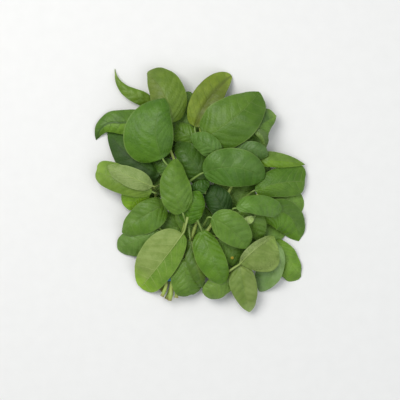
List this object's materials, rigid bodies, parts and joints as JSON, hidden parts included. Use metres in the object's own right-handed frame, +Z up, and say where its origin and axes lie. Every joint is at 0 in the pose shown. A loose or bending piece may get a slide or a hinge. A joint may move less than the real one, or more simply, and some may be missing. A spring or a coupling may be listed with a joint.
{
  "type": "basil bunch",
  "caption": "A tied bunch of cut sweet basil lying flat: stems gathered by a blue elastic band under a spreading pile of green leaves.",
  "frame": {"origin": "under the middle of the bunch, on the surface that it lies on", "axes": "+Z up, -Y towards the cut ends of the stems, +Y the long way of the bunch"},
  "size_m": [0.147, 0.1708, 0.0305],
  "materials": {
    "leaf_green": "soft sheen, fresh green leaf, upper side up",
    "leaf_underside": "matt pale underside of a leaf, raised veins",
    "leaf_young": "soft sheen, yellow-green young leaf",
    "stem_green": "smooth yellow-green stem with browned cut end",
    "band_blue": "matt blue elastic"
  },
  "bodies": {
    "root": {"under_leaf_centre": "leaf_green", "under_leaf_lower_left": "leaf_green", "under_leaf_lower_right": "leaf_green", "under_leaf_front": "leaf_green", "under_leaf_middle": "leaf_green", "under_leaf_left": "leaf_green", "under_leaf_top": "leaf_green", "under_leaf_top_right": "leaf_green", "under_leaf_right": "leaf_green", "under_leaf_right_small": "leaf_green", "under_leaf_top_left": "leaf_green", "under_leaf_front_right": "leaf_green", "leaf_top_right_behind": "leaf_green", "young_leaf_top_right": "leaf_young", "leaf_dark_left": "leaf_green", "leaf_bright_low_left": "leaf_green", "leaf_bright_left": "leaf_green", "leaf_lower_left_under": "leaf_green", "leaf_by_cut_ends": "leaf_green", "leaf_far_right_low": "leaf_green", "leaf_blue_green_right": "leaf_green", "leaf_right_hanging": "leaf_green", "leaf_right_flat": "leaf_green", "leaf_right_pointed": "leaf_green", "leaf_grey_right": "leaf_green", "leaf_shaded_front": "leaf_green", "leaf_shaded_centre": "leaf_green", "leaf_top_centre_small": "leaf_green", "leaf_dark_centre": "leaf_green", "leaf_small_left": "leaf_green", "leaf_small_centre": "leaf_green", "leaf_curled_far_left": "leaf_green", "leaf_broad_top": "leaf_green", "leaf_hooked_left": "leaf_green", "young_leaf_boat_top": "leaf_young", "leaf_lower_left": "leaf_green", "leaf_narrow_front": "leaf_green", "leaf_front_under": "leaf_green", "leaf_olive_front": "leaf_green", "young_leaf_centre": "leaf_young", "leaf_under_light_right": "leaf_green", "young_leaf_right": "leaf_young", "leaf_large_top_right": "leaf_green", "leaf_sage_centre": "leaf_green", "leaf_dome_left": "leaf_green", "turned_leaf_narrow_left": "leaf_underside", "leaf_light_right": "leaf_green", "leaf_bright_centre_right": "leaf_green", "leaf_centre_right": "leaf_green", "leaf_centre_left": "leaf_green", "turned_leaf_oval_right": "leaf_underside", "leaf_bright_front": "leaf_green", "turned_leaf_big_front": "leaf_underside", "stem_left": "stem_green", "stem_middle": "stem_green", "stem_front_right": "stem_green", "stem_top_left": "stem_green", "stem_top_right": "stem_green", "stem_right": "stem_green", "tie_band": "band_blue"}
  },
  "joints": []
}
